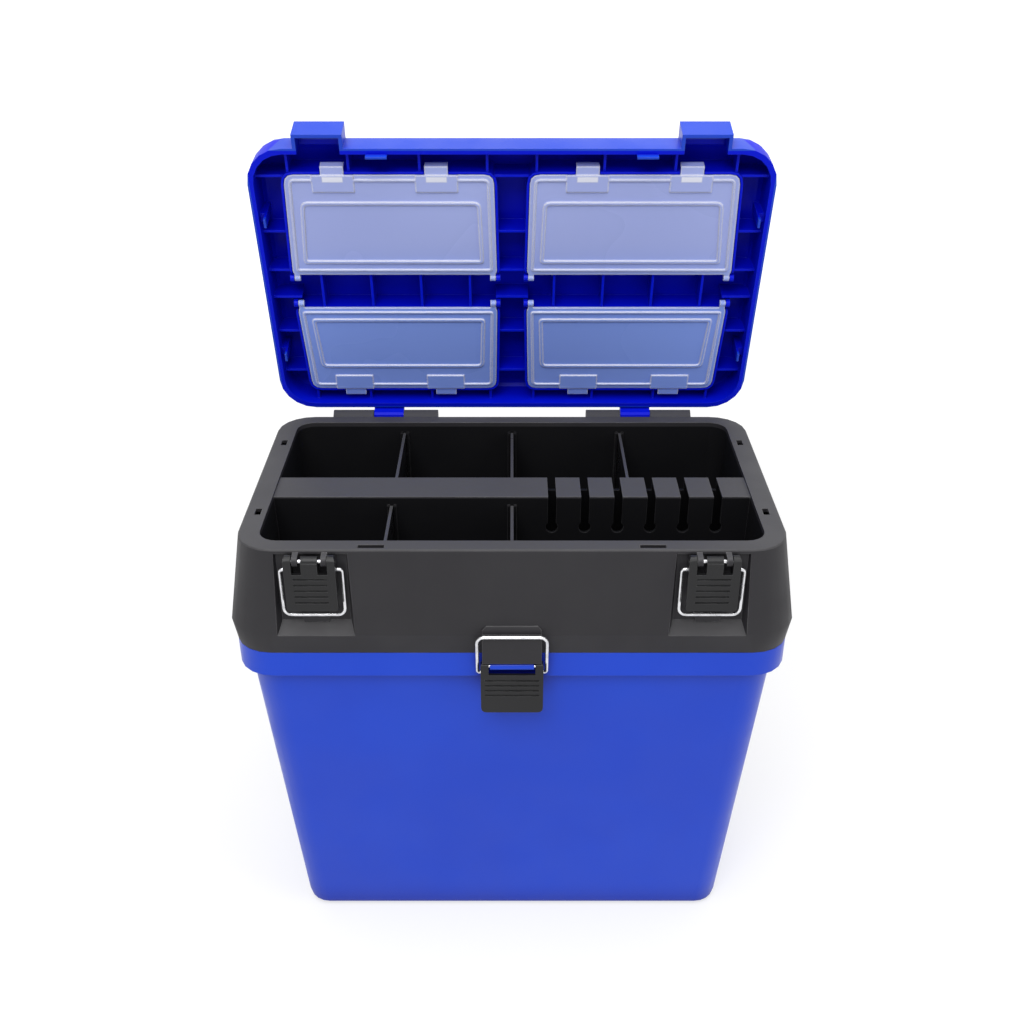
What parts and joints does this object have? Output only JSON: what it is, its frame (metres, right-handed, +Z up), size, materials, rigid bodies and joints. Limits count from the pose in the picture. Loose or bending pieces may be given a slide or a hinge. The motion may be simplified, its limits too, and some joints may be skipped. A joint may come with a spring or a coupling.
{
  "type": "fishing seat box",
  "caption": "Tapered fishing seat box with a tilting divided tray, a padded hinged lid with clear-doored compartments, and over-centre wire bail latches.",
  "frame": {"origin": "on the ground under the middle of the bin", "axes": "+Z up, -Y to the front with the latches, +X to the right half with the comb of slots; the lid stands open"},
  "size_m": [0.408, 0.2614, 0.5878],
  "materials": {
    "blue_plastic": "semi-gloss moulded royal blue",
    "black_plastic": "satin moulded black-grey",
    "latch_plastic": "satin moulded black",
    "foam": "matt closed-cell foam",
    "clear_plastic": "clear, slightly frosted",
    "steel": "bright drawn wire"
  },
  "bodies": {
    "bin": {"bin": "blue_plastic", "latch_pin_centre": "steel", "tray_hinge_pin_left": "steel", "tray_hinge_pin_right": "steel"},
    "tray": {"tray_housing": "black_plastic", "band_catch": "black_plastic", "latch_pin_left": "steel", "latch_pin_right": "steel", "lid_hinge_pin_left": "steel", "lid_hinge_pin_right": "steel"},
    "divider_back_left": {"divider_back_left": "black_plastic"},
    "divider_back_centre": {"divider_back_centre": "black_plastic"},
    "divider_back_right": {"divider_back_right": "black_plastic"},
    "divider_front_left": {"divider_front_left": "black_plastic"},
    "divider_front_centre": {"divider_front_centre": "black_plastic"},
    "lid": {"lid": "blue_plastic", "seat_pad": "foam"},
    "door_front_left": {"lid_door_front_left": "clear_plastic"},
    "door_front_right": {"lid_door_front_right": "clear_plastic"},
    "door_rear_left": {"lid_door_rear_left": "clear_plastic"},
    "door_rear_right": {"lid_door_rear_right": "clear_plastic"},
    "lever_left": {"latch_lever_left": "latch_plastic"},
    "lever_right": {"latch_lever_right": "latch_plastic"},
    "lever_centre": {"latch_lever_centre": "latch_plastic"},
    "bail_left": {"latch_bail_left": "steel"},
    "bail_right": {"latch_bail_right": "steel"},
    "bail_centre": {"latch_bail_centre": "steel"}
  },
  "joints": [
    {"name": "lid_hinge", "type": "hinge", "parent": "tray", "child": "lid", "pos_m": [0, 0.1137, 0.3584], "axis": [-1, 0, 0], "range_deg": [-75.8, 24.2]},
    {"name": "tray_hinge", "type": "hinge", "parent": "bin", "child": "tray", "pos_m": [0, 0.115, 0.279], "axis": [-1, 0, 0], "range_deg": [0, 95]},
    {"name": "front_left_door_hinge", "type": "hinge", "parent": "lid", "child": "door_front_left", "pos_m": [0, 0.09229, 0.47645], "axis": [1, 0, 0], "range_deg": [0, 90]},
    {"name": "front_right_door_hinge", "type": "hinge", "parent": "lid", "child": "door_front_right", "pos_m": [0, 0.09229, 0.47645], "axis": [1, 0, 0], "range_deg": [0, 90]},
    {"name": "rear_left_door_hinge", "type": "hinge", "parent": "lid", "child": "door_rear_left", "pos_m": [0, 0.09758, 0.45551], "axis": [-1, 0, 0], "range_deg": [0, 90]},
    {"name": "rear_right_door_hinge", "type": "hinge", "parent": "lid", "child": "door_rear_right", "pos_m": [0, 0.09758, 0.45551], "axis": [-1, 0, 0], "range_deg": [0, 90]},
    {"name": "left_lever_hinge", "type": "hinge", "parent": "tray", "child": "lever_left", "pos_m": [-0.1305, -0.1125, 0.3548], "axis": [-1, 0, 0], "range_deg": [0, 95]},
    {"name": "left_bail_hinge", "type": "hinge", "parent": "lever_left", "child": "bail_left", "pos_m": [-0.1305, -0.11, 0.3473], "axis": [1, 0, 0], "range_deg": [-171.78, 0]},
    {"name": "right_lever_hinge", "type": "hinge", "parent": "tray", "child": "lever_right", "pos_m": [0.1305, -0.1125, 0.3548], "axis": [-1, 0, 0], "range_deg": [0, 95]},
    {"name": "right_bail_hinge", "type": "hinge", "parent": "lever_right", "child": "bail_right", "pos_m": [0.1305, -0.11, 0.3473], "axis": [1, 0, 0], "range_deg": [-171.78, 0]},
    {"name": "centre_lever_hinge", "type": "hinge", "parent": "bin", "child": "lever_centre", "pos_m": [0, -0.1148, 0.2745], "axis": [-1, 0, 0], "range_deg": [0, 95]},
    {"name": "centre_bail_hinge", "type": "hinge", "parent": "lever_centre", "child": "bail_centre", "pos_m": [0, -0.1138, 0.2687], "axis": [1, 0, 0], "range_deg": [0, 95]},
    {"name": "divider_back_left_slide", "type": "slide", "parent": "tray", "child": "divider_back_left", "axis": [0, 0, 1], "range_m": [0, 0.06]},
    {"name": "divider_back_centre_slide", "type": "slide", "parent": "tray", "child": "divider_back_centre", "axis": [0, 0, 1], "range_m": [0, 0.06]},
    {"name": "divider_back_right_slide", "type": "slide", "parent": "tray", "child": "divider_back_right", "axis": [0, 0, 1], "range_m": [0, 0.06]},
    {"name": "divider_front_left_slide", "type": "slide", "parent": "tray", "child": "divider_front_left", "axis": [0, 0, 1], "range_m": [0, 0.06]},
    {"name": "divider_front_centre_slide", "type": "slide", "parent": "tray", "child": "divider_front_centre", "axis": [0, 0, 1], "range_m": [0, 0.06]}
  ],
  "couplings": [
    {"joint": "centre_bail_hinge", "follows": "centre_lever_hinge", "ratio": 1}
  ]
}
